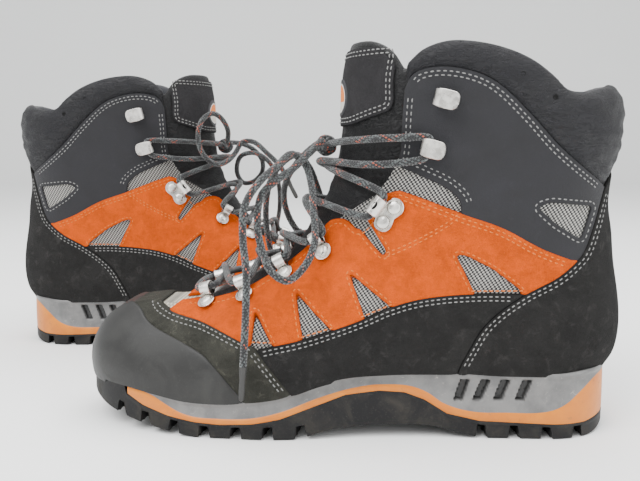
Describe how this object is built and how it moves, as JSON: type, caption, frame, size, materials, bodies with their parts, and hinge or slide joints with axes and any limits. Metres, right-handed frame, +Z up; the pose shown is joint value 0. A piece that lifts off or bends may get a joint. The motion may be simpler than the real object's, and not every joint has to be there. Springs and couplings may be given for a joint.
{
  "type": "pair of mountaineering boots",
  "caption": "Pair of ankle-high mountaineering boots: lugged rubber sole, stitched leather panels over mesh, padded collar, folding tongue top, metal lacing hooks and bowed round laces.",
  "frame": {"origin": "bottom centre of the pair's bounding box on the floor, free lace ends left out", "axes": "+Z up, the left boot in front (-Y side) with its toe towards -X, the right boot behind it with its toe towards +X"},
  "size_m": [0.4278, 0.3303, 0.2212],
  "materials": {
    "tread_rubber": "dusty matte black",
    "midsole_foam": "satin orange foam",
    "frame_plastic": "satin grey",
    "insole_board": "fibreboard",
    "footbed_foam": "cloth-topped foam",
    "lining_cloth": "knit",
    "mesh_cloth": "black and light grey basket weave",
    "toe_rubber": "smooth matte dark grey",
    "grey_suede": "mottled dark grey suede",
    "orange_suede": "napped orange suede",
    "nubuck": "anthracite nubuck",
    "padded_leather": "soft black, creased",
    "tongue_leather": "soft black, creased",
    "nickel_steel": "nickel plated, lightly worn",
    "lace": "round braid, black with flecks",
    "lace_tip": "smooth grey"
  },
  "bodies": {
    "left_boot": {"left_outsole": "tread_rubber", "left_midsole": "midsole_foam", "left_midsole_frame": "frame_plastic", "left_insole_board": "insole_board", "left_footbed": "footbed_foam", "left_waterproof_lining": "lining_cloth", "left_textile_upper": "mesh_cloth", "left_toe_rand": "toe_rubber", "left_vamp_suede": "grey_suede", "left_heel_counter": "grey_suede", "left_side_band_lateral": "grey_suede", "left_side_band_medial": "grey_suede", "left_saddle_lateral": "orange_suede", "left_saddle_medial": "orange_suede", "left_cuff_lateral": "nubuck", "left_cuff_medial": "nubuck", "left_collar": "padded_leather", "left_tongue": "tongue_leather", "left_clamp_lateral": "nickel_steel", "left_clamp_medial": "nickel_steel", "left_eyelet_row_lateral": "nickel_steel", "left_eyelet_row_medial": "nickel_steel", "left_hooks_lateral": "nickel_steel", "left_hooks_medial": "nickel_steel", "left_lace_held": "lace", "left_lace_free_lateral": "lace", "left_lace_free_medial": "lace", "left_aglet_lateral": "lace_tip", "left_aglet_medial": "lace_tip"},
    "left_flap": {"left_tongue_flap": "tongue_leather"},
    "right_boot": {"right_outsole": "tread_rubber", "right_midsole": "midsole_foam", "right_midsole_frame": "frame_plastic", "right_insole_board": "insole_board", "right_footbed": "footbed_foam", "right_waterproof_lining": "lining_cloth", "right_textile_upper": "mesh_cloth", "right_toe_rand": "toe_rubber", "right_vamp_suede": "grey_suede", "right_heel_counter": "grey_suede", "right_side_band_lateral": "grey_suede", "right_side_band_medial": "grey_suede", "right_saddle_lateral": "orange_suede", "right_saddle_medial": "orange_suede", "right_cuff_lateral": "nubuck", "right_cuff_medial": "nubuck", "right_collar": "padded_leather", "right_tongue": "tongue_leather", "right_clamp_lateral": "nickel_steel", "right_clamp_medial": "nickel_steel", "right_eyelet_row_lateral": "nickel_steel", "right_eyelet_row_medial": "nickel_steel", "right_hooks_lateral": "nickel_steel", "right_hooks_medial": "nickel_steel", "right_lace_held": "lace", "right_lace_free_lateral": "lace", "right_lace_free_medial": "lace", "right_aglet_lateral": "lace_tip", "right_aglet_medial": "lace_tip"},
    "right_flap": {"right_tongue_flap": "tongue_leather"}
  },
  "joints": [
    {"name": "right_boot_lift", "type": "slide", "parent": "left_boot", "child": "right_boot", "axis": [0, 0, 1], "range_m": [0, 0.25]},
    {"name": "left_tongue_fold", "type": "hinge", "parent": "left_boot", "child": "left_flap", "pos_m": [0.04997, -0.10375, 0.167], "axis": [-0.0523, -0.9986, 0], "range_deg": [0, 20], "stiffness_Nm_per_rad": 0.15},
    {"name": "right_tongue_fold", "type": "hinge", "parent": "right_boot", "child": "right_flap", "pos_m": [-0.04975, 0.10485, 0.167], "axis": [0, 1, 0], "range_deg": [0, 20], "stiffness_Nm_per_rad": 0.15}
  ]
}
